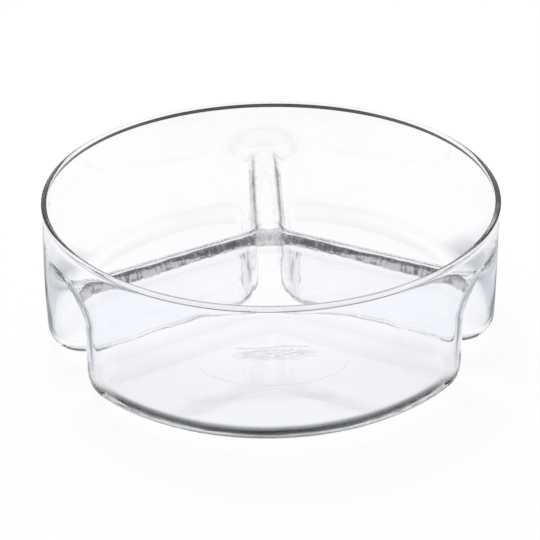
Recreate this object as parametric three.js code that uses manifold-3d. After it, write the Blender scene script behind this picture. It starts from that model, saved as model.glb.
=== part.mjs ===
// Clear glass serving dish with three compartments under one round rim, in millimetres, +Z up.
// The glass is one continuous wall. Each region of it that a glass worker would name is its own
// solid: rim bead, collar, three compartments, three folds and the hub where the folds meet.
import * as THREE from 'three';
import { mergeVertices } from 'three/addons/utils/BufferGeometryUtils.js';
import Module from 'manifold-3d';

// Driving dimensions
const rimDiameter = 240;
const dishHeight = 77;
const wallThickness = 2.4;
const baseThickness = 3.2;
const beadProud = 0.2; // the rim bead stands out of the wall by this much on both sides
const ridgeHeight = 52.5; // top of the folds above the table
const foldGap = 14.4; // clear width under a fold
const cornerRadius = 24; // plan radius where a compartment's outer wall turns into a fold
const noseRadius = 15; // plan radius of a compartment's corner next to the hub
const footFillet = 14.5; // outside radius between wall and base
const lipRise = 12; // a fold's roof flares up by this much at its open end
const lipReach = 15; // and starts to flare this far in from the round wall
const foldMargin = 0.7; // glass counted with a fold beyond the faces of its two walls
const hubReach = 18; // from the axis to where a fold starts
const collarRise = 1; // the collar starts this far above the ridges
const seam = 0.3; // hairline between neighbouring regions

// Steps along each stretch of a compartment's outline and of the profiles
const arcSteps = 8; // half of the outer arc
const cornerSteps = 5;
const sideSteps = 2;
const noseSteps = 3; // half of the nose arc
const profileSteps = 4; // each quarter round in height
const beadSteps = 8;
const rimSteps = 60;

const compartments = { front_compartment: -90, right_compartment: 30, left_compartment: 150 };
const folds = { rear_fold: 90, left_fold: 210, right_fold: 330 };
const halfSector = Math.PI / 3; // from a compartment's middle to the fold beside it

// Rim and wall
const beadRadius = wallThickness / 2 + beadProud;
const wallMidRadius = rimDiameter / 2 - beadRadius;
const beadSeatDrop = Math.sqrt(beadRadius ** 2 - (wallThickness / 2) ** 2);
const beadCentreZ = dishHeight - beadRadius;
const beadSeatZ = beadCentreZ - beadSeatDrop;
const collarZ = ridgeHeight + collarRise;

// Everything that differs between the outside of the glass and its inside, one wall further in
function surfaceSizes(inset, floorZ) {
  return {
    radius: wallMidRadius + wallThickness / 2 - inset,
    slot: foldGap / 2 + inset,
    slotCentreZ: ridgeHeight - wallThickness - foldGap / 2,
    corner: cornerRadius - inset,
    nose: noseRadius - inset,
    fillet: Math.min(footFillet, cornerRadius, noseRadius) - inset,
    upward: lipRise - inset,
    lipDepth: lipReach - inset,
    floorZ,
  };
}

// Outlines at rising heights: up the foot, round the arch of the folds, up the dent above them and
// up the collar. rise is the height above the centre of the fold's arch.
function surfaceLevels(size) {
  const levels = [];
  const quarter = (i) => (i / profileSteps) * (Math.PI / 2);
  for (let i = 0; i <= profileSteps; i += 1) {
    const inset = size.fillet * (1 - Math.sin(quarter(i)));
    levels.push({
      z: size.floorZ + size.fillet * (1 - Math.cos(quarter(i))),
      radius: size.radius - inset,
      slot: size.slot + inset,
      rise: 0,
      sideways: size.corner - inset,
      depth: size.corner - inset,
      upward: size.upward,
      nose: size.nose - inset,
    });
  }
  for (let i = 0; i <= profileSteps; i += 1) {
    const rise = size.slot * Math.sin(quarter(i));
    const depth = size.lipDepth + (size.corner - size.lipDepth) * (1 - Math.sin(quarter(i)));
    levels.push({ ...size, z: size.slotCentreZ + rise, rise, sideways: size.corner, depth });
  }
  const flare = { ...size, sideways: size.corner, depth: size.lipDepth };
  for (let i = 1; i <= profileSteps; i += 1) {
    const rise = size.slot + size.upward * (1 - Math.cos(quarter(i)));
    levels.push({ ...flare, z: size.slotCentreZ + rise, rise });
  }
  levels.push({ ...flare, z: beadSeatZ, rise: beadSeatZ - size.slotCentreZ });
  return levels;
}

// Half of a compartment's outline, from its nose round to the middle of the outer arc, with the
// compartment's middle along +X and the fold at halfSector. The wall rolls into the fold: on the way
// in from the round wall the arch narrows from a wide ellipse to the fold's own half circle.
function halfOutline({ radius, slot, rise, sideways, depth, upward, nose }) {
  const along = new THREE.Vector2(Math.cos(halfSector), Math.sin(halfSector));
  const inward = new THREE.Vector2(Math.sin(halfSector), -Math.cos(halfSector));
  const towardFold = halfSector + Math.PI / 2;
  const halfGap = Math.sqrt(Math.max(slot ** 2 - rise ** 2, 0));
  const noseSize = nose * (halfGap / slot);
  const noseCentre = (halfGap + noseSize) / Math.sin(halfSector);
  const nosePoint = (angle) =>
    new THREE.Vector2(noseCentre + noseSize * Math.cos(angle), noseSize * Math.sin(angle));
  const rollPoint = (turn) => {
    const open = 1 - Math.sin(turn);
    const share = Math.min(rise / (slot + upward * open), 1);
    const off = (slot + sideways * open) * Math.sqrt(1 - share ** 2);
    const distance = radius - depth * (1 - Math.cos(turn));
    const forward = Math.sqrt(distance ** 2 - off ** 2);
    return along.clone().multiplyScalar(forward).addScaledVector(inward, off);
  };
  const nearest = THREE.MathUtils.clamp((rise - slot) / upward, 0, 1);
  const rollEnd = Math.asin(1 - nearest);
  const arcEnd = rollPoint(0).angle();

  const points = [];
  for (let i = 0; i < noseSteps; i += 1) {
    points.push(nosePoint(Math.PI + (i / noseSteps) * (towardFold - Math.PI)));
  }
  for (let i = 0; i < sideSteps; i += 1) {
    points.push(nosePoint(towardFold).lerp(rollPoint(rollEnd), i / sideSteps));
  }
  for (let i = 0; i < cornerSteps; i += 1) {
    points.push(rollPoint(rollEnd * (1 - i / cornerSteps)));
  }
  for (let i = 0; i <= arcSteps; i += 1) {
    const angle = arcEnd * (1 - i / arcSteps);
    points.push(new THREE.Vector2(Math.cos(angle), Math.sin(angle)).multiplyScalar(radius));
  }
  return points;
}

const openStart = noseSteps + sideSteps; // first outline point that is left above the folds

// A whole outline as points in space, turned to the compartment's place round the axis
function outline(level, turn) {
  const half = halfOutline(level);
  const mirrored = half.slice(1, -1).reverse().map((p) => new THREE.Vector2(p.x, -p.y));
  return [...half, ...mirrored].map((p) => {
    const q = p.clone().rotateAround(new THREE.Vector2(), turn);
    return new THREE.Vector3(q.x, q.y, level.z);
  });
}

// Triangles collect here as corner points, and are welded when the solid is made
function addQuad(corners, a, b, c, d) {
  corners.push(a, b, c, a, c, d);
}

// One compartment's share of a surface: walls from the floor to the bead seat, and the floor
function addPocket(corners, levels, turn, facesOut) {
  const rings = levels.map((level) => outline(level, turn));
  const count = rings[0].length;
  const openEnd = count - openStart;
  const [floorRing] = rings;
  const floorCentre = new THREE.Vector3();
  floorRing.forEach((p) => floorCentre.addScaledVector(p, 1 / count));
  for (let i = 0; i < count; i += 1) {
    const pair = [floorRing[i], floorRing[(i + 1) % count]];
    corners.push(floorCentre, ...(facesOut ? pair : pair.reverse()));
  }
  for (let k = 0; k + 1 < rings.length; k += 1) {
    const whole = levels[k + 1].rise <= levels[k + 1].slot;
    for (let i = whole ? 0 : openStart; i < (whole ? count : openEnd); i += 1) {
      const j = (i + 1) % count;
      const quad = [rings[k][j], rings[k][i], rings[k + 1][i], rings[k + 1][j]];
      addQuad(corners, ...(facesOut ? quad : quad.reverse()));
    }
  }
  return rings.at(-1).slice(openStart, openEnd + 1);
}

function weld(geometry) {
  const bare = geometry.clone();
  bare.deleteAttribute('normal');
  bare.deleteAttribute('uv');
  return mergeVertices(bare);
}

const wasm = await Module();
wasm.setup();

function solidFrom(geometry) {
  const welded = weld(geometry);
  const triangles = [];
  const index = welded.index.array;
  for (let i = 0; i < index.length; i += 3) {
    const [a, b, c] = index.slice(i, i + 3);
    if (a !== b && b !== c && c !== a) triangles.push(a, b, c);
  }
  return new wasm.Manifold(new wasm.Mesh({
    numProp: 3,
    vertProperties: new Float32Array(welded.attributes.position.array),
    triVerts: new Uint32Array(triangles),
  }));
}

function geometryFrom(solid) {
  const mesh = solid.getMesh();
  const geometry = new THREE.BufferGeometry();
  geometry.setAttribute('position', new THREE.BufferAttribute(mesh.vertProperties, 3));
  geometry.setIndex(new THREE.BufferAttribute(mesh.triVerts, 1));
  geometry.computeVertexNormals();
  return geometry;
}

// The whole glass wall below the rim bead
function glassWall() {
  const outside = surfaceLevels(surfaceSizes(0, 0));
  const inside = surfaceLevels(surfaceSizes(wallThickness, baseThickness));
  const corners = [];
  for (const degrees of Object.values(compartments)) {
    const turn = THREE.MathUtils.degToRad(degrees);
    const outerEdge = addPocket(corners, outside, turn, true);
    const innerEdge = addPocket(corners, inside, turn, false);
    for (let i = 0; i + 1 < outerEdge.length; i += 1) {
      addQuad(corners, outerEdge[i + 1], outerEdge[i], innerEdge[i], innerEdge[i + 1]);
    }
  }
  return solidFrom(new THREE.BufferGeometry().setFromPoints(corners));
}

// Upright block over a plan outline, used to take one region out of the glass wall
function block(points, lowZ, highZ) {
  const shape = new THREE.Shape(points);
  const geometry = new THREE.ExtrudeGeometry(shape, { depth: highZ - lowZ, bevelEnabled: false });
  return solidFrom(geometry.translate(0, 0, lowZ));
}

const wall = glassWall();
const reach = rimDiameter; // past the outside of the dish
const belowBase = -dishHeight;
const foldSide = foldGap / 2 + wallThickness + foldMargin;
const noseReach = hubReach * Math.cos(halfSector) + foldSide * Math.sin(halfSector);

// Plan point at a distance along a direction and off to its left
function planPoint(along, off, degrees) {
  return new THREE.Vector2(along, off)
    .rotateAround(new THREE.Vector2(), THREE.MathUtils.degToRad(degrees));
}

function collarRegion() {
  const square = [0, 90, 180, 270].map((degrees) => planPoint(reach, reach, degrees));
  return wall.intersect(block(square, collarZ, dishHeight));
}

function compartmentRegion(degrees) {
  const near = noseReach + seam / 2;
  const side = foldSide + seam / 2;
  const shoulder = (near * Math.sin(halfSector) - side) / Math.cos(halfSector);
  const spread = reach * Math.tan(halfSector);
  const wedge = [[near, -shoulder], [near + reach, -shoulder - spread],
    [near + reach, shoulder + spread], [near, shoulder]];
  const points = wedge.map(([along, off]) => planPoint(along, off, degrees));
  return wall.intersect(block(points, belowBase, collarZ));
}

function foldRegion(degrees) {
  const near = hubReach + seam / 2;
  const side = foldSide - seam / 2;
  const strip = [[near, -side], [reach, -side], [reach, side], [near, side]];
  const points = strip.map(([along, off]) => planPoint(along, off, degrees));
  return wall.intersect(block(points, belowBase, collarZ));
}

function hubRegion() {
  const near = hubReach - seam / 2;
  const side = foldSide - seam / 2;
  const hexagon = Object.values(folds).flatMap((degrees) =>
    [planPoint(near, -side, degrees), planPoint(near, side, degrees)]);
  return wall.intersect(block(hexagon, belowBase, collarZ));
}

// Round bar bent to a ring, flat underneath where it sits on the wall
function rimBeadGeometry() {
  const seatAngle = Math.asin(beadSeatDrop / beadRadius);
  const angles = [-seatAngle];
  for (let i = 0; i <= beadSteps; i += 1) {
    angles.push((i / beadSteps) * Math.PI);
  }
  angles.push(Math.PI + seatAngle, -seatAngle);
  const profile = angles.map((angle) => new THREE.Vector2(
    wallMidRadius + beadRadius * Math.cos(angle),
    beadCentreZ + beadRadius * Math.sin(angle),
  ));
  const ring = new THREE.LatheGeometry(profile, rimSteps).rotateX(Math.PI / 2);
  return geometryFrom(solidFrom(ring));
}

function glassMesh(name, geometry) {
  const material = new THREE.MeshStandardMaterial({
    color: 0xeef3f5, roughness: 0.04, metalness: 0, transparent: true, opacity: 0.35,
  });
  const mesh = new THREE.Mesh(geometry, material);
  mesh.name = name;
  return mesh;
}

const dish = new THREE.Group();
dish.add(glassMesh('rim_bead', rimBeadGeometry()));
dish.add(glassMesh('collar', geometryFrom(collarRegion())));
dish.add(glassMesh('centre_hub', geometryFrom(hubRegion())));
for (const [name, degrees] of Object.entries(compartments)) {
  dish.add(glassMesh(name, geometryFrom(compartmentRegion(degrees))));
}
for (const [name, degrees] of Object.entries(folds)) {
  dish.add(glassMesh(name, geometryFrom(foldRegion(degrees))));
}

export default dish;
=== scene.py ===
import math
from collections import namedtuple

import bpy
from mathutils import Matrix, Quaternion, Vector, noise


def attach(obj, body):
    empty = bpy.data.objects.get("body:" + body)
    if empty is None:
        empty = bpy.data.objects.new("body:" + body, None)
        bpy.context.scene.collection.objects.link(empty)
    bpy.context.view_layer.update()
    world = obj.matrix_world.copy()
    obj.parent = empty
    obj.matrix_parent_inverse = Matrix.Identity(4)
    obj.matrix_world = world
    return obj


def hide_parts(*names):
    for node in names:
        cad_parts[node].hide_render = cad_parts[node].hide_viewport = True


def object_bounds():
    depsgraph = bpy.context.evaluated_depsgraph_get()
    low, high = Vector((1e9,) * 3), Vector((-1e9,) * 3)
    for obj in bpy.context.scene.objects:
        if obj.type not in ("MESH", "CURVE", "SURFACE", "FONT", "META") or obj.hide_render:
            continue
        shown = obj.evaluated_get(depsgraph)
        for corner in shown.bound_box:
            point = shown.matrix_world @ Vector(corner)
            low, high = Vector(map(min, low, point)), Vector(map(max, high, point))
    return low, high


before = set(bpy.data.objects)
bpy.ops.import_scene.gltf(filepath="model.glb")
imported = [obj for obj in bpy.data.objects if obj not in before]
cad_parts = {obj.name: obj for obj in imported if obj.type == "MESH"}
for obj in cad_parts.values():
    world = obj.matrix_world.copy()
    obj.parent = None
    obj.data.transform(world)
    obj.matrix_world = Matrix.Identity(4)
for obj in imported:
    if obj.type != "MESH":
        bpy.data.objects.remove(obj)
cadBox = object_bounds()  # the solids' box, which gives the dish its width and height
print("frame loaded:", len(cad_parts), "nodes")

scene = bpy.context.scene
scene.view_settings.view_transform = 'Standard'
scene.cycles.max_bounces = 96  # walls and folds stack many faces of glass
scene.cycles.transmission_bounces = 96
scene.cycles.glossy_bounces = 48
scene.cycles.transparent_max_bounces = 48
scene.cycles.caustics_reflective = False  # light reaches the floor by the glass's own shadow colour
scene.cycles.caustics_refractive = False


# Camera: stands in front of the dish and looks down into it
cameraView = {
    "distance": 0.650,        # from the point it circles, metres
    "elevation": 28.89,       # degrees above the table
    "azimuth": -1.45,         # degrees round from straight in front
    "aimHeight": 0.040,       # the point it circles, on the dish's axis
    "tiltDown": 0.92,         # further tilt that centres the dish in the frame, degrees
    "roll": -0.93,            # degrees, right side of the rim higher
    "lens": 81.89,            # mm
    "sensor": 36.0,           # mm
    "nearest": 0.01,          # metres in front of the lens where the view starts
}


def placeCamera(v):
    data = bpy.data.cameras.new("photoCamera")
    data.sensor_width = v["sensor"]
    data.lens = v["lens"]
    data.clip_start = v["nearest"]
    cam = bpy.data.objects.new("photoCamera", data)
    up, turn = math.radians(v["elevation"]), math.radians(v["azimuth"])
    aim = Vector((0, 0, v["aimHeight"]))
    away = Vector((math.sin(turn) * math.cos(up), -math.cos(turn) * math.cos(up), math.sin(up)))
    cam.location = aim + away * v["distance"]
    look = (-away).to_track_quat('-Z', 'Y')
    tilt = Quaternion((1, 0, 0), -math.radians(v["tiltDown"]))
    spin = Quaternion((0, 0, 1), math.radians(v["roll"]))
    cam.rotation_mode = 'QUATERNION'
    cam.rotation_quaternion = look @ tilt @ spin
    scene.collection.objects.link(cam)
    scene.camera = cam


placeCamera(cameraView)
print("camera placed")


# The dish: one continuous wall of glass. Width and height come from the frame.
dish = {
    "rimRadius": (cadBox[1].x - cadBox[0].x) / 2,
    "height": cadBox[1].z,
    "wall": 0.0024,
    "base": 0.0032,
    "beadProud": {"outside": 0.0005, "inside": 0.0003},  # rim bead beyond the wall
    "beadNecks": {"outside": 0.0011, "inside": 0.0020},  # heights over which the wall swells into it
    "ridgeHeight": 0.0525,   # tops of the folds
    "foldGap": 0.0144,
    "cornerRadius": 0.024,
    "noseRadius": 0.0185,
    "webShare": 0.95,        # of the nose radius, kept where the fold tops run together
    "footFillet": 0.0145,
    "lipRise": 0.012,        # a fold's open end flares up by this much
    "lipReach": 0.015,       # and starts to flare this far in from the wall
    "hubShift": 0.0015,      # the folds meet this far behind the middle
    "foldTurns": {90: 0.0, 210: -1.72, 330: 1.32},  # degrees each fold leans from even thirds
    "turnSpread": 60.0,      # degrees either side of a fold that its turn reaches
    "rimLean": 0.0009,       # the wall leans in by this much at the rim
    "rimDraws": {90: 0.0004, 210: 0.0042, 330: 0.0013},  # and further above each fold
    "drawSpread": 70.0,      # degrees either side of a fold that its draw reaches
    "wave": 0.00010,         # slow unevenness of hand-worked glass
    "waveScales": {38: 0.6, 90: 0.4},   # its noises per metre, and the share of each
    "streak": 0.00004,       # upright draw lines in the walls
    "streakScale": (160, 160, 14),
    "foldMark": 0.00005,     # tool marks under the folds
    "foldMarkScale": (420, 420, 160),
    "foldMarkLow": 0.006,    # they start this far below the arch of a fold
    "foldMarkEnd": 0.010,    # and end this far in from the rim
    "calmFoot": 0.006,       # heights over which the hand work dies out at the foot and at the rim
    "calmRim": 0.006,
    "rimShare": 0.25,        # of the hand work, left on the rim itself
    "seeds": {"outside": (0.3, 0.7, 0.1), "inside": (5.2, 1.4, 3.3)},
}
meshSteps = {"nose": 8, "side": 36, "corner": 14, "arc": 36, "foot": 14, "wall": 14, "arch": 16,
             "dent": 16, "collar": 8, "swell": 6, "bead": 18, "floor": 10}
compartmentTurns = [-90, 30, 150]
frontTurn = compartmentTurns[0]
halfTurn = 60               # degrees from the middle of a compartment to the fold beside it
halfSector = math.radians(halfTurn)

# Finishes of the glass, in the order of the material slots
finishes = ["clear", "markedShaded", "flank", "nose", "scarred"]
markedShadedFolds = [210, 330]    # the tool left its marks under these two, with painted shade
finishReach = {
    "corner": 0.45,         # share of a fold's outer corner that the tool marks and their painted shade reach
    "side": 6,              # faces along the folds that the painted shade at the nose reaches
    "arch": 5,              # levels of the arch that it climbs
}

# One outline round a compartment: slot is half a fold's width, rise the height above the start of its
# arch, and sideways, inward and upward are how far its open end flares
wallLevel = namedtuple("wallLevel", "z radius slot rise sideways inward upward nose")
pointGrid = 1e6             # per metre, so points of two compartments that meet become one


def ease(t):
    return t * t * (3 - 2 * t)


def archHeight():
    # where the upright sides of a fold end and its arch starts
    return dish["ridgeHeight"] - dish["wall"] - dish["foldGap"] / 2


def wallLevels(inset, floorZ, topZ):
    # outlines up one face of the glass, floor to bead; inset is 0 outside and one wall inside
    d = dish
    radius = d["rimRadius"] - d["beadProud"]["outside"] - inset
    slot = d["foldGap"] / 2 + inset
    centreZ = archHeight()
    corner = d["cornerRadius"] - inset
    nose = d["noseRadius"] - inset
    fillet = d["footFillet"] - inset
    lip = d["lipRise"] - inset
    reach = d["lipReach"] - inset
    levels = []
    n = meshSteps["foot"]
    for i in range(n + 1):
        a = i / n * math.pi / 2
        shrink = fillet * (1 - math.sin(a))
        levels.append(wallLevel(floorZ + fillet * (1 - math.cos(a)), radius - shrink, slot + shrink, 0.0,
                                corner - shrink, corner - shrink, lip, nose - shrink))
    n = meshSteps["wall"]
    for i in range(1, n):
        z = floorZ + fillet + (centreZ - floorZ - fillet) * i / n
        levels.append(wallLevel(z, radius, slot, 0.0, corner, corner, lip, nose))
    n = meshSteps["arch"]
    for i in range(n + 1):
        a = i / n * math.pi / 2
        rise = slot * math.sin(a)
        inward = reach + (corner - reach) * (1 - math.sin(a))
        levels.append(wallLevel(centreZ + rise, radius, slot, rise, corner, inward, lip, nose))
    n = meshSteps["dent"]
    for i in range(1, n + 1):
        rise = slot + lip * (1 - math.cos(i / n * math.pi / 2))
        levels.append(wallLevel(centreZ + rise, radius, slot, rise, corner, reach, lip, nose))
    n = meshSteps["collar"]
    low = centreZ + slot + lip
    for i in range(1, n + 1):
        z = low + (topZ - low) * i / n
        levels.append(wallLevel(z, radius, slot, z - centreZ, corner, reach, lip, nose))
    return levels


def beadSize():
    return (dish["wall"] + dish["beadProud"]["outside"] + dish["beadProud"]["inside"]) / 2


def beadLevels(outerTop, innerTop):
    # over the rim: swell from the wall, round the bead, and back to the wall inside
    d = dish
    proud = d["beadProud"]
    beadRadius = beadSize()
    mid = d["rimRadius"] - beadRadius
    centreZ = d["height"] - beadRadius
    n = meshSteps["swell"]
    swell = [i / n for i in range(1, n)]
    section = [(beadRadius - proud["outside"] * ease(1 - t), outerTop + (centreZ - outerTop) * t)
               for t in swell]
    n = meshSteps["bead"]
    for i in range(n + 1):
        a = i / n * math.pi
        section.append((beadRadius * math.cos(a), centreZ + beadRadius * math.sin(a)))
    section += [(proud["inside"] * ease(1 - t) - beadRadius, innerTop + (centreZ - innerTop) * t)
                for t in reversed(swell)]
    return [wallLevel(z, mid + off, d["foldGap"] / 2, d["height"], d["cornerRadius"], d["lipReach"],
                      d["lipRise"], d["noseRadius"]) for off, z in section]


def halfOutline(level):
    # from the nose by the hub round to the middle of the outer arc
    radius, slot, rise, sideways, inward, upward, nose = level[1:]
    alongX, alongY = math.cos(halfSector), math.sin(halfSector)
    inX, inY = math.sin(halfSector), -math.cos(halfSector)
    toFold = halfSector + math.pi / 2
    halfGap = math.sqrt(max(slot ** 2 - rise ** 2, 0.0))
    noseSize = nose * max(halfGap / slot, dish["webShare"])
    noseX = (halfGap + noseSize) / math.sin(halfSector)

    def nosePoint(a):
        return noseX + noseSize * math.cos(a), noseSize * math.sin(a)

    def rollPoint(a):
        flare = 1 - math.sin(a)
        share = min(rise / (slot + upward * flare), 1.0)
        off = (slot + sideways * flare) * math.sqrt(1 - share ** 2)
        reach = radius - inward * (1 - math.cos(a))
        ahead = math.sqrt(reach ** 2 - off ** 2)
        return ahead * alongX + off * inX, ahead * alongY + off * inY

    nearest = min(max((rise - slot) / upward, 0.0), 1.0)
    rollEnd = math.asin(1 - nearest)
    startX, startY = rollPoint(0)
    arcEnd = math.atan2(startY, startX)
    points = []
    n = meshSteps["nose"]
    for i in range(n):
        points.append(nosePoint(math.pi + i / n * (toFold - math.pi)))
    ax, ay = nosePoint(toFold)
    bx, by = rollPoint(rollEnd)
    n = meshSteps["side"]
    for i in range(n):
        t = i / n
        points.append((ax + (bx - ax) * t, ay + (by - ay) * t))
    n = meshSteps["corner"]
    for i in range(n):
        points.append(rollPoint(rollEnd * (1 - i / n)))
    n = meshSteps["arc"]
    for i in range(n + 1):
        a = arcEnd * (1 - i / n)
        points.append((radius * math.cos(a), radius * math.sin(a)))
    return points


def nearFold(off, spread):
    # 1 at the fold, 0 from the spread outwards, in degrees
    return math.cos(math.radians(off * 90 / spread)) ** 2 if abs(off) < spread else 0.0


def handBend(x, y, z):
    # the small departures from even thirds of a dish made by hand, none of them outward at the wall
    d = dish
    r, a = math.hypot(x, y), math.degrees(math.atan2(y, x))
    outer = min(r / d["rimRadius"], 1.0) ** 2
    inner = (1 - outer) ** 2
    high = z / d["height"]
    turn, draw = 0.0, d["rimLean"] * high
    for fold in d["foldTurns"]:
        off = (a - fold + 180) % 360 - 180
        turn += d["foldTurns"][fold] * nearFold(off, d["turnSpread"])
        draw += d["rimDraws"][fold] * nearFold(off, d["drawSpread"]) * high ** 2
    r -= draw * outer
    a = math.radians(a + turn)
    return r * math.cos(a), r * math.sin(a) + d["hubShift"] * inner


def fullOutline(level, turn):
    half = halfOutline(level)
    loop = half + [(x, -y) for x, y in reversed(half[1:-1])]
    c, s = math.cos(turn), math.sin(turn)
    return [(*handBend(x * c - y * s, x * s + y * c, level.z), level.z) for x, y in loop]


def foldBeside(degrees, first):
    # the fold at one end of a compartment's outline or at the other
    return (degrees + (halfTurn if first else -halfTurn)) % 360


def wallFinish(k, i, count, degrees):
    # finish of the face at level k, i steps round a compartment's outline
    archStart = meshSteps["foot"] + meshSteps["wall"]
    onArch = archStart - 1 <= k < archStart + meshSteps["arch"]
    onNose = meshSteps["foot"] - 1 <= k < archStart + finishReach["arch"]
    sideEnd = meshSteps["nose"] + meshSteps["side"]
    steps = min(i, count - 1 - i)   # away from the middle of the nose
    if onNose and degrees == frontTurn and steps < meshSteps["nose"] + finishReach["side"]:
        return "nose"
    if onArch and foldBeside(degrees, i < count / 2) in markedShadedFolds:
        if steps < sideEnd + round(meshSteps["corner"] * finishReach["corner"]):
            return "markedShaded"
    return "flank" if onArch and steps < sideEnd else "clear"


def floorFaces(ring, points, pointIndex):
    # rings that shrink to the middle of a compartment's floor
    pairs = [(i, (i + 1) % len(ring)) for i in range(len(ring))]
    middle = sum((Vector(points[i]) for i in ring), Vector()) / len(ring)
    faces, last = [], ring
    steps = meshSteps["floor"]
    for k in range(1, steps):
        keep = 1 - k / steps
        level = [pointIndex(tuple(middle + (Vector(points[i]) - middle) * keep)) for i in ring]
        faces += [[last[i], last[j], level[j], level[i]] for i, j in pairs]
        last = level
    hub = pointIndex(tuple(middle))
    return faces + [[last[i], last[j], hub] for i, j in pairs]


def glassFaces():
    # one sheet from the base up the outside, over the bead and down to the inner floor
    d = dish
    beadLow = d["height"] - beadSize()
    outerTop, innerTop = beadLow - d["beadNecks"]["outside"], beadLow - d["beadNecks"]["inside"]
    outside = wallLevels(0.0, 0.0, outerTop)
    inside = wallLevels(d["wall"], d["base"], innerTop)
    levels = outside + beadLevels(outerTop, innerTop) + inside[::-1]
    points, faces, slots, known = [], [], [], {}

    def pointIndex(p):
        key = tuple(round(v * pointGrid) for v in p)
        if key not in known:
            known[key] = len(points)
            points.append(p)
        return known[key]

    def addFace(corners, finish):
        unique = list(dict.fromkeys(corners))
        if len(unique) > 2:
            faces.append(unique)
            slots.append(finishes.index(finish))

    sideEnd = meshSteps["nose"] + meshSteps["side"]
    roof = meshSteps["foot"] + meshSteps["wall"] + meshSteps["arch"]   # level of the fold tops
    for degrees in compartmentTurns:
        turn = math.radians(degrees)
        rings = [[pointIndex(p) for p in fullOutline(level, turn)] for level in levels]
        count = len(rings[0])
        for k in range(len(rings) - 1):
            folded = all(level.rise <= level.slot for level in levels[k:k + 2])   # below the fold tops
            for i in range(count) if folded else range(sideEnd, count - sideEnd):
                j = (i + 1) % count
                addFace([rings[k][j], rings[k][i], rings[k + 1][i], rings[k + 1][j]],
                        wallFinish(k, i, count, degrees))
        for k, facesDown in ((roof, True), (len(levels) - 1 - roof, False)):
            hub = pointIndex((*handBend(0, 0, levels[k].z), levels[k].z))
            for i in range(-meshSteps["nose"], meshSteps["nose"]):
                markedShaded = facesDown and foldBeside(degrees, i >= 0) in markedShadedFolds
                face = [hub, rings[k][i], rings[k][i + 1]]
                addFace(face[::-1] if facesDown else face, "markedShaded" if markedShaded else "clear")
        for ring, facesDown in ((rings[0], True), (rings[-1], False)):
            scarred = facesDown and degrees == frontTurn
            for face in floorFaces(ring, points, pointIndex):
                addFace(face if facesDown else face[::-1], "scarred" if scarred else "clear")
    return points, faces, slots


def handWork(mesh):
    # slow waves, upright draw lines and fold marks, always into the glass so the outside never grows
    d = dish
    normals = [v.normal.copy() for v in mesh.vertices]
    markLow, markEnd = archHeight() - d["foldMarkLow"], d["rimRadius"] - d["foldMarkEnd"]
    for v, n in zip(mesh.vertices, normals):
        p = v.co.copy()
        facesOut = n.x * p.x + n.y * p.y > 0
        seed = Vector(d["seeds"]["outside" if facesOut else "inside"])
        slow = sum(noise.noise(p * scale + seed) * share for scale, share in d["waveScales"].items())
        upright = noise.noise(p * Vector(d["streakScale"]) + seed)
        mark = 0.0
        if p.z > markLow and math.hypot(p.x, p.y) < markEnd:
            mark = noise.noise(p * Vector(d["foldMarkScale"]) + seed)
        move = d["wave"] * (slow - 1) + d["streak"] * (upright - 1) + d["foldMark"] * mark
        foot = min(max(p.z / d["calmFoot"], 0.0), 1.0)
        rim = min(max((d["height"] - p.z) / d["calmRim"], d["rimShare"]), 1.0)
        v.co = p + n * move * foot * rim


def buildDish():
    points, faces, slots = glassFaces()
    mesh = bpy.data.meshes.new("glass_dish")
    mesh.from_pydata(points, [], faces)
    mesh.update()
    handWork(mesh)
    mesh.shade_smooth()
    mesh.polygons.foreach_set("material_index", slots)
    piece = bpy.data.objects.new("glass_dish", mesh)
    scene.collection.objects.link(piece)
    print("dish mesh:", len(points), "points")
    return piece


noiseMiddle = 0.5           # what a noise swings about


def addNode(tree, kind, **values):
    node = tree.nodes.new("ShaderNode" + kind)
    for name, value in values.items():
        node.inputs[name.replace("_", " ")].default_value = value
    return node


def addMath(tree, operation, *values):
    # each value is a number or the socket that feeds it
    node = addNode(tree, "Math")
    node.operation = operation
    for socket, value in zip(node.inputs, values):
        if isinstance(value, bpy.types.NodeSocket):
            tree.links.new(value, socket)
        else:
            socket.default_value = value
    return node.outputs[0]


def addVectorMath(tree, operation, vector):
    node = addNode(tree, "VectorMath")
    node.operation = operation
    tree.links.new(vector, node.inputs[0])
    return node


def splitPlace(tree, place):
    node = addNode(tree, "SeparateXYZ")
    tree.links.new(place, node.inputs["Vector"])
    return node.outputs["X"], node.outputs["Y"], node.outputs["Z"]


def mixColours(tree, share, first, second):
    # a Mix node takes colours at its sockets 6 and 7 and gives one at 2
    node = addNode(tree, "Mix")
    node.data_type = 'RGBA'
    tree.links.new(share, node.inputs[0])
    for socket, value in ((node.inputs[6], first), (node.inputs[7], second)):
        if isinstance(value, bpy.types.NodeSocket):
            tree.links.new(value, socket)
        else:
            socket.default_value = value
    return node.outputs[2]


def blend(tree, value, span, low=0.0, high=1.0):
    # from low to high as the value crosses the span
    node = addNode(tree, "MapRange", From_Min=span[0], From_Max=span[1], To_Min=low, To_Max=high)
    tree.links.new(value, node.inputs["Value"])
    return node.outputs["Result"]


def toneRamp(tree, value, stops):
    # stops are (place, colour), in the units of the value
    low, high = stops[0][0], stops[-1][0]
    ramp = addNode(tree, "ValToRGB")
    tree.links.new(blend(tree, value, (low, high)), ramp.inputs["Fac"])
    elements = ramp.color_ramp.elements
    while len(elements) < len(stops):
        elements.new(1.0)
    for element, (place, colour) in zip(elements, stops):
        element.position = (place - low) / (high - low)
        element.color = (*colour, 1)
    return ramp.outputs["Color"]


def roundTones(tree, across, value, look):
    # runs of tones from in front of the dish to behind it, each taking over at one of the edges
    runs = [toneRamp(tree, value, stops) for stops in look["tones"].values()]
    colour = runs[0]
    for run, edge in zip(runs[1:], look["edges"]):
        colour = mixColours(tree, blend(tree, across, edge), colour, run)
    return colour


# Clear glass with a breath of blue. The finishes below are worked into it.
glassLook = {"tint": (0.985, 0.99, 1, 1), "ior": 1.5}


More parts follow.
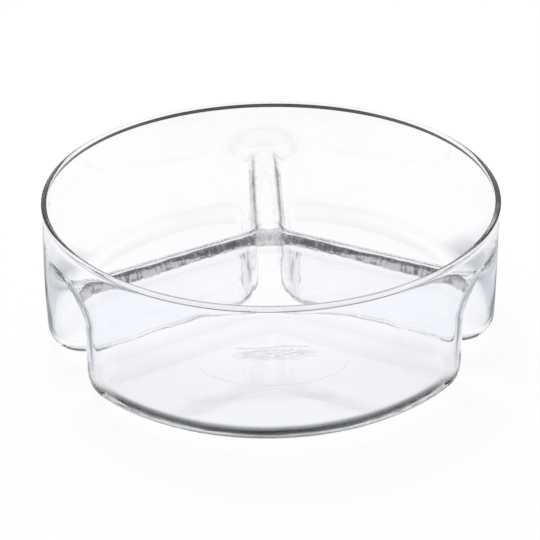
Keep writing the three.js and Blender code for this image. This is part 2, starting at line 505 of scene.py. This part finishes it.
def glassBase(name):
    # lamps shine through with what Fresnel lets pass
    mat = bpy.data.materials.new(name)
    mat.use_nodes = True
    tree = mat.node_tree
    tree.nodes.clear()
    out = addNode(tree, "OutputMaterial")
    body = addNode(tree, "BsdfPrincipled", Base_Color=glassLook["tint"], Roughness=0.0,
                   IOR=glassLook["ior"], Transmission_Weight=1.0)
    facing = addNode(tree, "LayerWeight", Blend=1 - 1 / glassLook["ior"])
    passed = addNode(tree, "Invert")
    clear = addNode(tree, "BsdfTransparent")
    path = addNode(tree, "LightPath")
    mix = addNode(tree, "MixShader")
    link = tree.links.new
    link(facing.outputs["Fresnel"], passed.inputs["Color"])
    link(passed.outputs["Color"], clear.inputs["Color"])
    link(path.outputs["Is Shadow Ray"], mix.inputs["Fac"])
    link(body.outputs["BSDF"], mix.inputs[1])
    link(clear.outputs["BSDF"], mix.inputs[2])
    link(mix.outputs["Shader"], out.inputs["Surface"])
    return mat, tree, body


def workGlass(tree, body, share, tone, height, look):
    # a tone over its share of the clear glass, and a height that is felt as a bump
    link = tree.links.new
    link(mixColours(tree, share, glassLook["tint"], tone), body.inputs["Base Color"])
    bump = addNode(tree, "Bump", Strength=look["bump"], Distance=look["bumpDepth"])
    link(height, bump.inputs["Height"])
    link(bump.outputs["Normal"], body.inputs["Normal"])


def clearGlass():
    return glassBase("clearGlass")[0]


def streakStrokes():
    # streaks, turned by Lean, then as fine along each axis as Stretch says; they make the tool marks and
    # the painted shade alike
    group = bpy.data.node_groups.new("streakStrokes", 'ShaderNodeTree')
    for name in ("Place", "Lean", "Stretch"):
        group.interface.new_socket(name, in_out='INPUT', socket_type='NodeSocketVector')
    for name in ("Detail", "Roughness"):
        group.interface.new_socket(name, in_out='INPUT', socket_type='NodeSocketFloat')
    for name in ("Stroke", "Uneven"):
        group.interface.new_socket(name, in_out='OUTPUT', socket_type='NodeSocketFloat')
    given = group.nodes.new("NodeGroupInput").outputs
    made = group.nodes.new("NodeGroupOutput").inputs
    leaning = addNode(group, "Mapping")
    stretch = addNode(group, "Mapping")
    streaks = addNode(group, "TexNoise", Scale=1.0)
    link = group.links.new
    link(given["Place"], leaning.inputs["Vector"])
    link(given["Lean"], leaning.inputs["Rotation"])
    link(leaning.outputs["Vector"], stretch.inputs["Vector"])
    link(given["Stretch"], stretch.inputs["Scale"])
    link(stretch.outputs["Vector"], streaks.inputs["Vector"])
    link(given["Detail"], streaks.inputs["Detail"])
    link(given["Roughness"], streaks.inputs["Roughness"])
    link(streaks.outputs["Fac"], made["Stroke"])
    link(addMath(group, 'SUBTRACT', streaks.outputs["Fac"], noiseMiddle), made["Uneven"])
    return group


strokeGroup = streakStrokes()


def addStrokes(tree, place, look):
    # lean is in degrees about each axis, stretch per metre along each
    node = addNode(tree, "Group")
    node.node_tree = strokeGroup
    node.inputs["Lean"].default_value = [math.radians(a) for a in look["lean"]]
    node.inputs["Stretch"].default_value = look["stretch"]
    node.inputs["Detail"].default_value = look["detail"]
    node.inputs["Roughness"].default_value = look["roughness"]
    tree.links.new(place, node.inputs["Place"])
    return node.outputs["Stroke"], node.outputs["Uneven"]


def mirroredPlace(tree):
    # the same to left and right of the dish
    coord = addNode(tree, "TexCoord")
    return addVectorMath(tree, 'ABSOLUTE', coord.outputs["Object"]).outputs["Vector"]


# Tool marks under the left and right fold and over the hub, their dark grey tones painted shade, darkest
# in a strip under the crest; heights and lengths in metres
markShadeLook = {
    "tones": {"dark": (0.022, 0.021, 0.025), "middle": (0.10, 0.097, 0.107),
              "light": (0.34, 0.335, 0.36), "hub": (0.50, 0.50, 0.53)},
    "pale": [(0.38, "dark"), (0.45, "middle"), (0.50, "light"), (0.62, "light")],   # by the noise
    "deep": [(0.38, "dark"), (0.50, "dark"), (0.60, "middle")],
    "overHub": [(0.43, "middle"), (0.49, "light"), (0.55, "hub")],   # where the folds run together
    "foldAngle": 30.0,       # degrees from the X axis to the fold
    "strokes": {"lean": (0, 32, 0), "stretch": (650, 60, 150), "detail": 3.0, "roughness": 0.6},
    "blotches": {"lean": (0, 0, 0), "stretch": (150, 90, 420), "detail": 4.0, "roughness": 0.6},
    "lowHub": 0.0470, "lowNear": 0.0483, "lowFar": 0.0474,   # lower edge of the marks, from the hub out
    "lowRise": (0.008, 0.016), "lowFall": (0.040, 0.100),    # where along the fold it changes
    "darkNear": 0.0489, "darkFar": 0.0499,   # lower edge of the dark strip of painted shade
    "darkRise": (0.034, 0.058),
    "hubEdge": (0.016, 0.004), "hubRagged": 0.02,
    "lowSoft": (-0.0002, 0.0002), "darkSoft": (-0.00010, 0.00012), "ragged": 0.0016,
    "roughness": 0.05, "bump": 0.5, "bumpDepth": 0.0004,
}


def markedShadedGlass():
    # dull, stroked glass where a tool pressed the fold, ending in a ragged lower edge; its grey tones are
    # painted shade, with a darker strip of painted shade under the crest
    mat, tree, body = glassBase("markedShadedGlass")
    look = markShadeLook

    def tones(value, run):
        return toneRamp(tree, value, [(place, look["tones"][name]) for place, name in look[run]])

    def aboveEdge(uneven, edge, soft):
        height = addMath(tree, 'MULTIPLY_ADD', uneven, look["ragged"], up)
        return blend(tree, addMath(tree, 'SUBTRACT', height, edge), soft)

    turned = addNode(tree, "VectorRotate", Angle=-math.radians(look["foldAngle"]))
    turned.rotation_type = 'Z_AXIS'
    tree.links.new(mirroredPlace(tree), turned.inputs["Vector"])
    along = turned.outputs["Vector"]   # X runs out along the fold
    out, _, up = splitPlace(tree, along)
    stroke, strokeUneven = addStrokes(tree, along, look["strokes"])
    blotch, blotchUneven = addStrokes(tree, along, look["blotches"])
    both = addMath(tree, 'MULTIPLY', addMath(tree, 'ADD', stroke, blotch), 0.5)
    # the dark strip under the crest is painted shade
    darkEdge = blend(tree, out, look["darkRise"], look["darkNear"], look["darkFar"])
    shadeStrip = aboveEdge(blotchUneven, darkEdge, look["darkSoft"])
    shade = mixColours(tree, shadeStrip, tones(both, "pale"), tones(both, "deep"))
    nearHub = addMath(tree, 'MULTIPLY_ADD', blotchUneven, look["hubRagged"], out)
    shade = mixColours(tree, blend(tree, nearHub, look["hubEdge"]), shade, tones(both, "overHub"))
    lowEdge = addMath(tree, 'MINIMUM', blend(tree, out, look["lowRise"], look["lowHub"], look["lowNear"]),
                      blend(tree, out, look["lowFall"], look["lowNear"], look["lowFar"]))
    fade = aboveEdge(strokeUneven, lowEdge, look["lowSoft"])
    tree.links.new(addMath(tree, 'MULTIPLY', fade, look["roughness"]), body.inputs["Roughness"])
    workGlass(tree, body, fade, shade, both, look)
    return mat


# Paler streaks along the rear fold's flanks, and streaks of painted shade down the nose under the hub.
# Each span runs from none of it to the full streaking, in metres.
streakLook = {
    "tones": [(0.38, (0.10, 0.10, 0.12)), (0.56, (0.80, 0.80, 0.85))],   # by the noise
    "flank": {"lean": (0, 0, 40), "stretch": (150, 700, 150), "detail": 4.0, "roughness": 0.65,
              "edge": (0.0050, 0.0056), "ragged": 0.006, "end": (0.088, 0.070)},
    "nose": {"lean": (0, 0, 0), "stretch": (320, 320, 60), "detail": 4.0, "roughness": 0.65,
             "start": (0.0095, 0.0111), "edge": (0.0163, 0.0155), "ragged": 0.007, "low": (0.016, 0.026)},
    "bump": 0.3, "bumpDepth": 0.0003,
}


def streakedGlass(name, place):
    # feathered strokes with a ragged edge, on the flank or on the nose, where they are painted shade
    mat, tree, body = glassBase(name)
    look = streakLook[place]
    mirrored = mirroredPlace(tree)
    x, y, z = splitPlace(tree, mirrored)
    stroke, uneven = addStrokes(tree, mirrored, look)
    mask = blend(tree, addMath(tree, 'MULTIPLY_ADD', uneven, look["ragged"], x), look["edge"])
    for limit, value in (("start", x), ("end", y), ("low", z)):
        if limit in look:
            mask = addMath(tree, 'MULTIPLY', mask, blend(tree, value, look[limit]))
    workGlass(tree, body, mask, toneRamp(tree, stroke, streakLook["tones"]),
              addMath(tree, 'MULTIPLY', stroke, mask), streakLook)
    return mat


# Scar where the molten gather was cut, a thin line with wrinkles round it, and a faint grey arc and band
# ahead of it.
# It lies in the front floor, in metres to the right of and ahead of the middle of the dish.
scarLook = {
    "tone": (0.50, 0.51, 0.56, 1),
    "drift": 0.004, "driftScale": 45.0, "driftDetail": 2.0,   # the lines wander by this much
    "line": 0.0340, "lineWidth": 0.0010, "lineSpan": (-0.043, 0.051),
    "wrinkles": (0.001, 0.0405), "wrinkleReach": (0.026, 0.0062), "wrinkleEdge": (1.0, 0.7),
    "creaseScale": (120, 700, 1), "creaseDetail": 3.0, "creaseTwist": 1.5, "creaseWidth": 0.06,
    "arc": (0.0, 0.047), "arcReach": (0.038, 0.0215), "arcWidth": 0.022, "arcFade": 0.006,
    "band": 0.0785, "bandWidth": 0.006, "bandSpan": (-0.046, 0.030),
    "spanFade": 0.003,
    "shares": {"line": 1.0, "wrinkles": 0.65, "arc": 0.45, "band": 0.25},
    "bump": 0.3, "bumpDepth": 0.0003,
}


def scarredGlass():
    mat, tree, body = glassBase("scarredFloor")
    look = scarLook
    link = tree.links.new
    place = addNode(tree, "TexCoord").outputs["Object"]
    drift = addNode(tree, "TexNoise", Scale=look["driftScale"], Detail=look["driftDetail"])
    creases = addNode(tree, "Mapping", Scale=look["creaseScale"])
    folds = addNode(tree, "TexNoise", Scale=1.0, Detail=look["creaseDetail"],
                    Distortion=look["creaseTwist"])
    link(place, drift.inputs["Vector"])
    link(place, creases.inputs["Vector"])
    link(creases.outputs["Vector"], folds.inputs["Vector"])
    x, y, _ = splitPlace(tree, place)
    uneven = addMath(tree, 'SUBTRACT', drift.outputs["Fac"], noiseMiddle)
    ahead = addMath(tree, 'MULTIPLY_ADD', uneven, look["drift"], addMath(tree, 'MULTIPLY', y, -1.0))

    def times(first, second):
        return addMath(tree, 'MULTIPLY', first, second)

    def farFrom(value, middle):
        return addMath(tree, 'ABSOLUTE', addMath(tree, 'SUBTRACT', value, middle))

    def inSpan(span):
        fade = look["spanFade"]
        return times(blend(tree, x, (span[0], span[0] + fade)), blend(tree, x, (span[1], span[1] - fade)))

    def nearLine(line, width):
        return blend(tree, farFrom(ahead, line), (width, 0.0))

    def roundPlace(middle, reach):
        across = addMath(tree, 'DIVIDE', addMath(tree, 'SUBTRACT', x, middle[0]), reach[0])
        along = addMath(tree, 'DIVIDE', addMath(tree, 'SUBTRACT', ahead, middle[1]), reach[1])
        return addMath(tree, 'SQRT', addMath(tree, 'ADD', times(across, across), times(along, along)))

    crease = blend(tree, farFrom(folds.outputs["Fac"], noiseMiddle), (look["creaseWidth"], 0.0))
    ring = blend(tree, farFrom(roundPlace(look["arc"], look["arcReach"]), 1.0), (look["arcWidth"], 0.0))
    arcStart = look["arc"][1]
    masks = {
        "line": times(nearLine(look["line"], look["lineWidth"]), inSpan(look["lineSpan"])),
        "wrinkles": times(crease, blend(tree, roundPlace(look["wrinkles"], look["wrinkleReach"]),
                                        look["wrinkleEdge"])),
        "arc": times(ring, blend(tree, ahead, (arcStart, arcStart + look["arcFade"]))),
        "band": times(nearLine(look["band"], look["bandWidth"]), inSpan(look["bandSpan"])),
    }
    total = 0.0
    for part, mask in masks.items():
        total = addMath(tree, 'MULTIPLY_ADD', mask, look["shares"][part], total)
    total = addMath(tree, 'MINIMUM', total, 1.0)
    workGlass(tree, body, total, look["tone"], total, look)
    return mat


glassDish = buildDish()
dressed = {"clear": clearGlass(), "markedShaded": markedShadedGlass(), "flank": streakedGlass("streakedFlank", "flank"),
           "nose": streakedGlass("streakedShadeNose", "nose"), "scarred": scarredGlass()}
for finish in finishes:
    glassDish.data.materials.append(dressed[finish])
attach(glassDish, "root")
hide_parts("rim_bead", "collar", "centre_hub", "front_compartment",
            "right_compartment", "left_compartment", "rear_fold", "left_fold", "right_fold")
print("glass dressed")


# White table, plain white to the camera with a faint shadow. Light that comes through or off the glass
# sees it
# with painted shade: a painted contact shadow with a painted caustic line close round the foot, a painted
# shadow ring beside it and a painted brownish band of shade in front, ending in a dark room.
table = {
    "size": 6.0, "gap": 0.0003, "colour": (0.90, 0.90, 0.90, 1), "whiteSeen": 0.95,
    "edges": [(-0.72, -0.55), (0.4, 0.6)],   # y over r where the next run takes over
    "tones": {   # by distance from the middle of the dish, metres
        # front: painted contact shadow at the foot, broken by a painted caustic line in pale gold, then a
        # painted brownish band of shade
        "front": [(0.0, (0.985, 0.98, 1)), (0.103, (0.985, 0.98, 1)), (0.1055, (0.85, 0.88, 0.93)),
                  (0.1068, (0.50, 0.55, 0.63)), (0.1082, (0.24, 0.28, 0.34)), (0.1095, (0.09, 0.10, 0.12)),
                  (0.1105, (0.02, 0.02, 0.025)), (0.1114, (0.02, 0.02, 0.02)),
                  (0.1117, (0.90, 0.76, 0.56)), (0.1126, (0.90, 0.76, 0.56)),
                  (0.1129, (0.006, 0.005, 0.004)), (0.124, (0.006, 0.005, 0.004)),
                  (0.1275, (0.60, 0.57, 0.54)), (0.145, (0.42, 0.38, 0.34)), (0.18, (0.42, 0.38, 0.34)),
                  (0.21, (1, 1, 1)), (0.80, (1, 1, 1)), (0.95, (0.05, 0.045, 0.04))],
        # side: a painted shadow ring just outside the foot
        "side": [(0.0, (0.975, 0.97, 1)), (0.09, (0.975, 0.97, 1)), (0.105, (1, 1, 1)), (0.120, (1, 1, 1)),
                 (0.1235, (0.86, 0.88, 0.92)), (0.128, (0.66, 0.68, 0.73)), (0.133, (0.27, 0.29, 0.33)),
                 (0.147, (0.25, 0.27, 0.31)), (0.153, (0.58, 0.60, 0.64)), (0.19, (0.82, 0.83, 0.86)),
                 (0.26, (1, 1, 1)), (0.62, (1, 1, 1)), (0.75, (0.05, 0.045, 0.04))],
        "back": [(0.0, (1, 1, 1)), (0.34, (1, 1, 1)), (0.40, (0.05, 0.045, 0.04))],
    },
}


def whiteTable():
    s = table["size"] / 2
    z = -table["gap"]
    mesh = bpy.data.meshes.new("white_table")
    mesh.from_pydata([(-s, -s, z), (s, -s, z), (s, s, z), (-s, s, z)], [], [(0, 1, 2, 3)])
    piece = bpy.data.objects.new("white_table", mesh)
    scene.collection.objects.link(piece)
    mat = bpy.data.materials.new("whiteTable")
    mat.use_nodes = True
    tree = mat.node_tree
    tree.nodes.clear()
    link = tree.links.new
    place = addNode(tree, "TexCoord").outputs["Object"]
    reach = addVectorMath(tree, 'LENGTH', place).outputs["Value"]
    across = addMath(tree, 'DIVIDE', splitPlace(tree, place)[1], reach)
    # painted shade and light, seen only by light that comes through or off the glass
    paintedShadeAndLight = roundTones(tree, across, reach, table)
    path = addNode(tree, "LightPath")
    out = addNode(tree, "OutputMaterial")
    matte = addNode(tree, "BsdfDiffuse", Color=table["colour"])
    white = addNode(tree, "Emission")
    mix = addNode(tree, "MixShader")
    seen = path.outputs["Is Camera Ray"]
    link(mixColours(tree, seen, paintedShadeAndLight, (1, 1, 1, 1)), white.inputs["Color"])
    share = blend(tree, seen, (0.0, 1.0), 1.0, table["whiteSeen"])   # the rest is left for the shadow
    lit = addMath(tree, 'SUBTRACT', 1.0, path.outputs["Is Diffuse Ray"])
    link(addMath(tree, 'MULTIPLY', share, lit), mix.inputs["Fac"])
    link(matte.outputs["BSDF"], mix.inputs[1])
    link(white.outputs["Emission"], mix.inputs[2])
    link(mix.outputs["Shader"], out.inputs["Surface"])
    mesh.materials.append(mat)


whiteTable()
print("table laid")


# Studio: a bluish panel in front over a dark lower room, white panels beside,
# a white sweep behind under a dark ceiling, and one soft lamp
studio = {
    "edges": [(-0.6, -0.4), (0.4, 0.6), (0.80, 0.88)],   # y of the direction where the next run takes over
    "tones": {   # by degrees above the table
        "front": [(-90, (0.02, 0.018, 0.016)), (23, (0.02, 0.018, 0.016)), (28, (0.62, 0.63, 0.72)),
                  (38, (0.5, 0.5, 0.56)), (44, (0.45, 0.44, 0.44)), (90, (0.6, 0.59, 0.59))],
        "side": [(-90, (0.12, 0.09, 0.07)), (4, (0.12, 0.09, 0.07)), (12, (1, 1, 1)), (42, (1, 1, 1)),
                 (56, (0.45, 0.42, 0.41)), (90, (0.36, 0.31, 0.28))],
        "back": [(-90, (0.06, 0.05, 0.045)), (2.5, (0.06, 0.05, 0.045)), (4, (1, 1, 1)), (9.5, (1, 1, 1)),
                 (13, (0.40, 0.39, 0.40)), (23, (0.40, 0.39, 0.40)), (27, (0.97, 0.97, 0.98)),
                 (41, (0.9, 0.9, 0.92)), (46, (0.03, 0.026, 0.022)), (90, (0.03, 0.026, 0.022))],
        "behind": [(-90, (0.06, 0.05, 0.045)), (2.5, (0.06, 0.05, 0.045)), (5, (0.95, 0.95, 0.97)),
                   (41, (0.95, 0.95, 0.97)), (46, (0.03, 0.026, 0.022)), (90, (0.03, 0.026, 0.022))],
    },
    "lampPlace": (-0.10, 0.45, 1.10), "lampSize": 0.4, "lampPower": 12.0,
}


def overheadLamp():
    data = bpy.data.lights.new("overheadLamp", 'AREA')
    data.shape = 'DISK'
    data.size = studio["lampSize"]
    data.energy = studio["lampPower"]
    lamp = bpy.data.objects.new("overheadLamp", data)
    lamp.location = studio["lampPlace"]
    lamp.rotation_mode = 'QUATERNION'
    lamp.rotation_quaternion = (-lamp.location).to_track_quat('-Z', 'Y')
    lamp.visible_glossy = False
    lamp.visible_transmission = False
    scene.collection.objects.link(lamp)


def studioWorld():
    world = bpy.data.worlds.new("studio")
    scene.world = world
    world.use_nodes = True
    tree = world.node_tree
    tree.nodes.clear()
    link = tree.links.new
    out = addNode(tree, "OutputWorld")
    _, y, z = splitPlace(tree, addNode(tree, "TexCoord").outputs["Generated"])
    height = addMath(tree, 'ARCSINE', z)
    across = addMath(tree, 'DIVIDE', y, addMath(tree, 'COSINE', height))
    room = addNode(tree, "Background")
    white = addNode(tree, "Background", Color=(1, 1, 1, 1))
    path = addNode(tree, "LightPath")
    mix = addNode(tree, "MixShader")
    link(roundTones(tree, across, addMath(tree, 'DEGREES', height), studio), room.inputs["Color"])
    link(path.outputs["Is Camera Ray"], mix.inputs["Fac"])
    link(room.outputs["Background"], mix.inputs[1])
    link(white.outputs["Background"], mix.inputs[2])
    link(mix.outputs["Shader"], out.inputs["Surface"])


overheadLamp()
studioWorld()
print("studio lit")
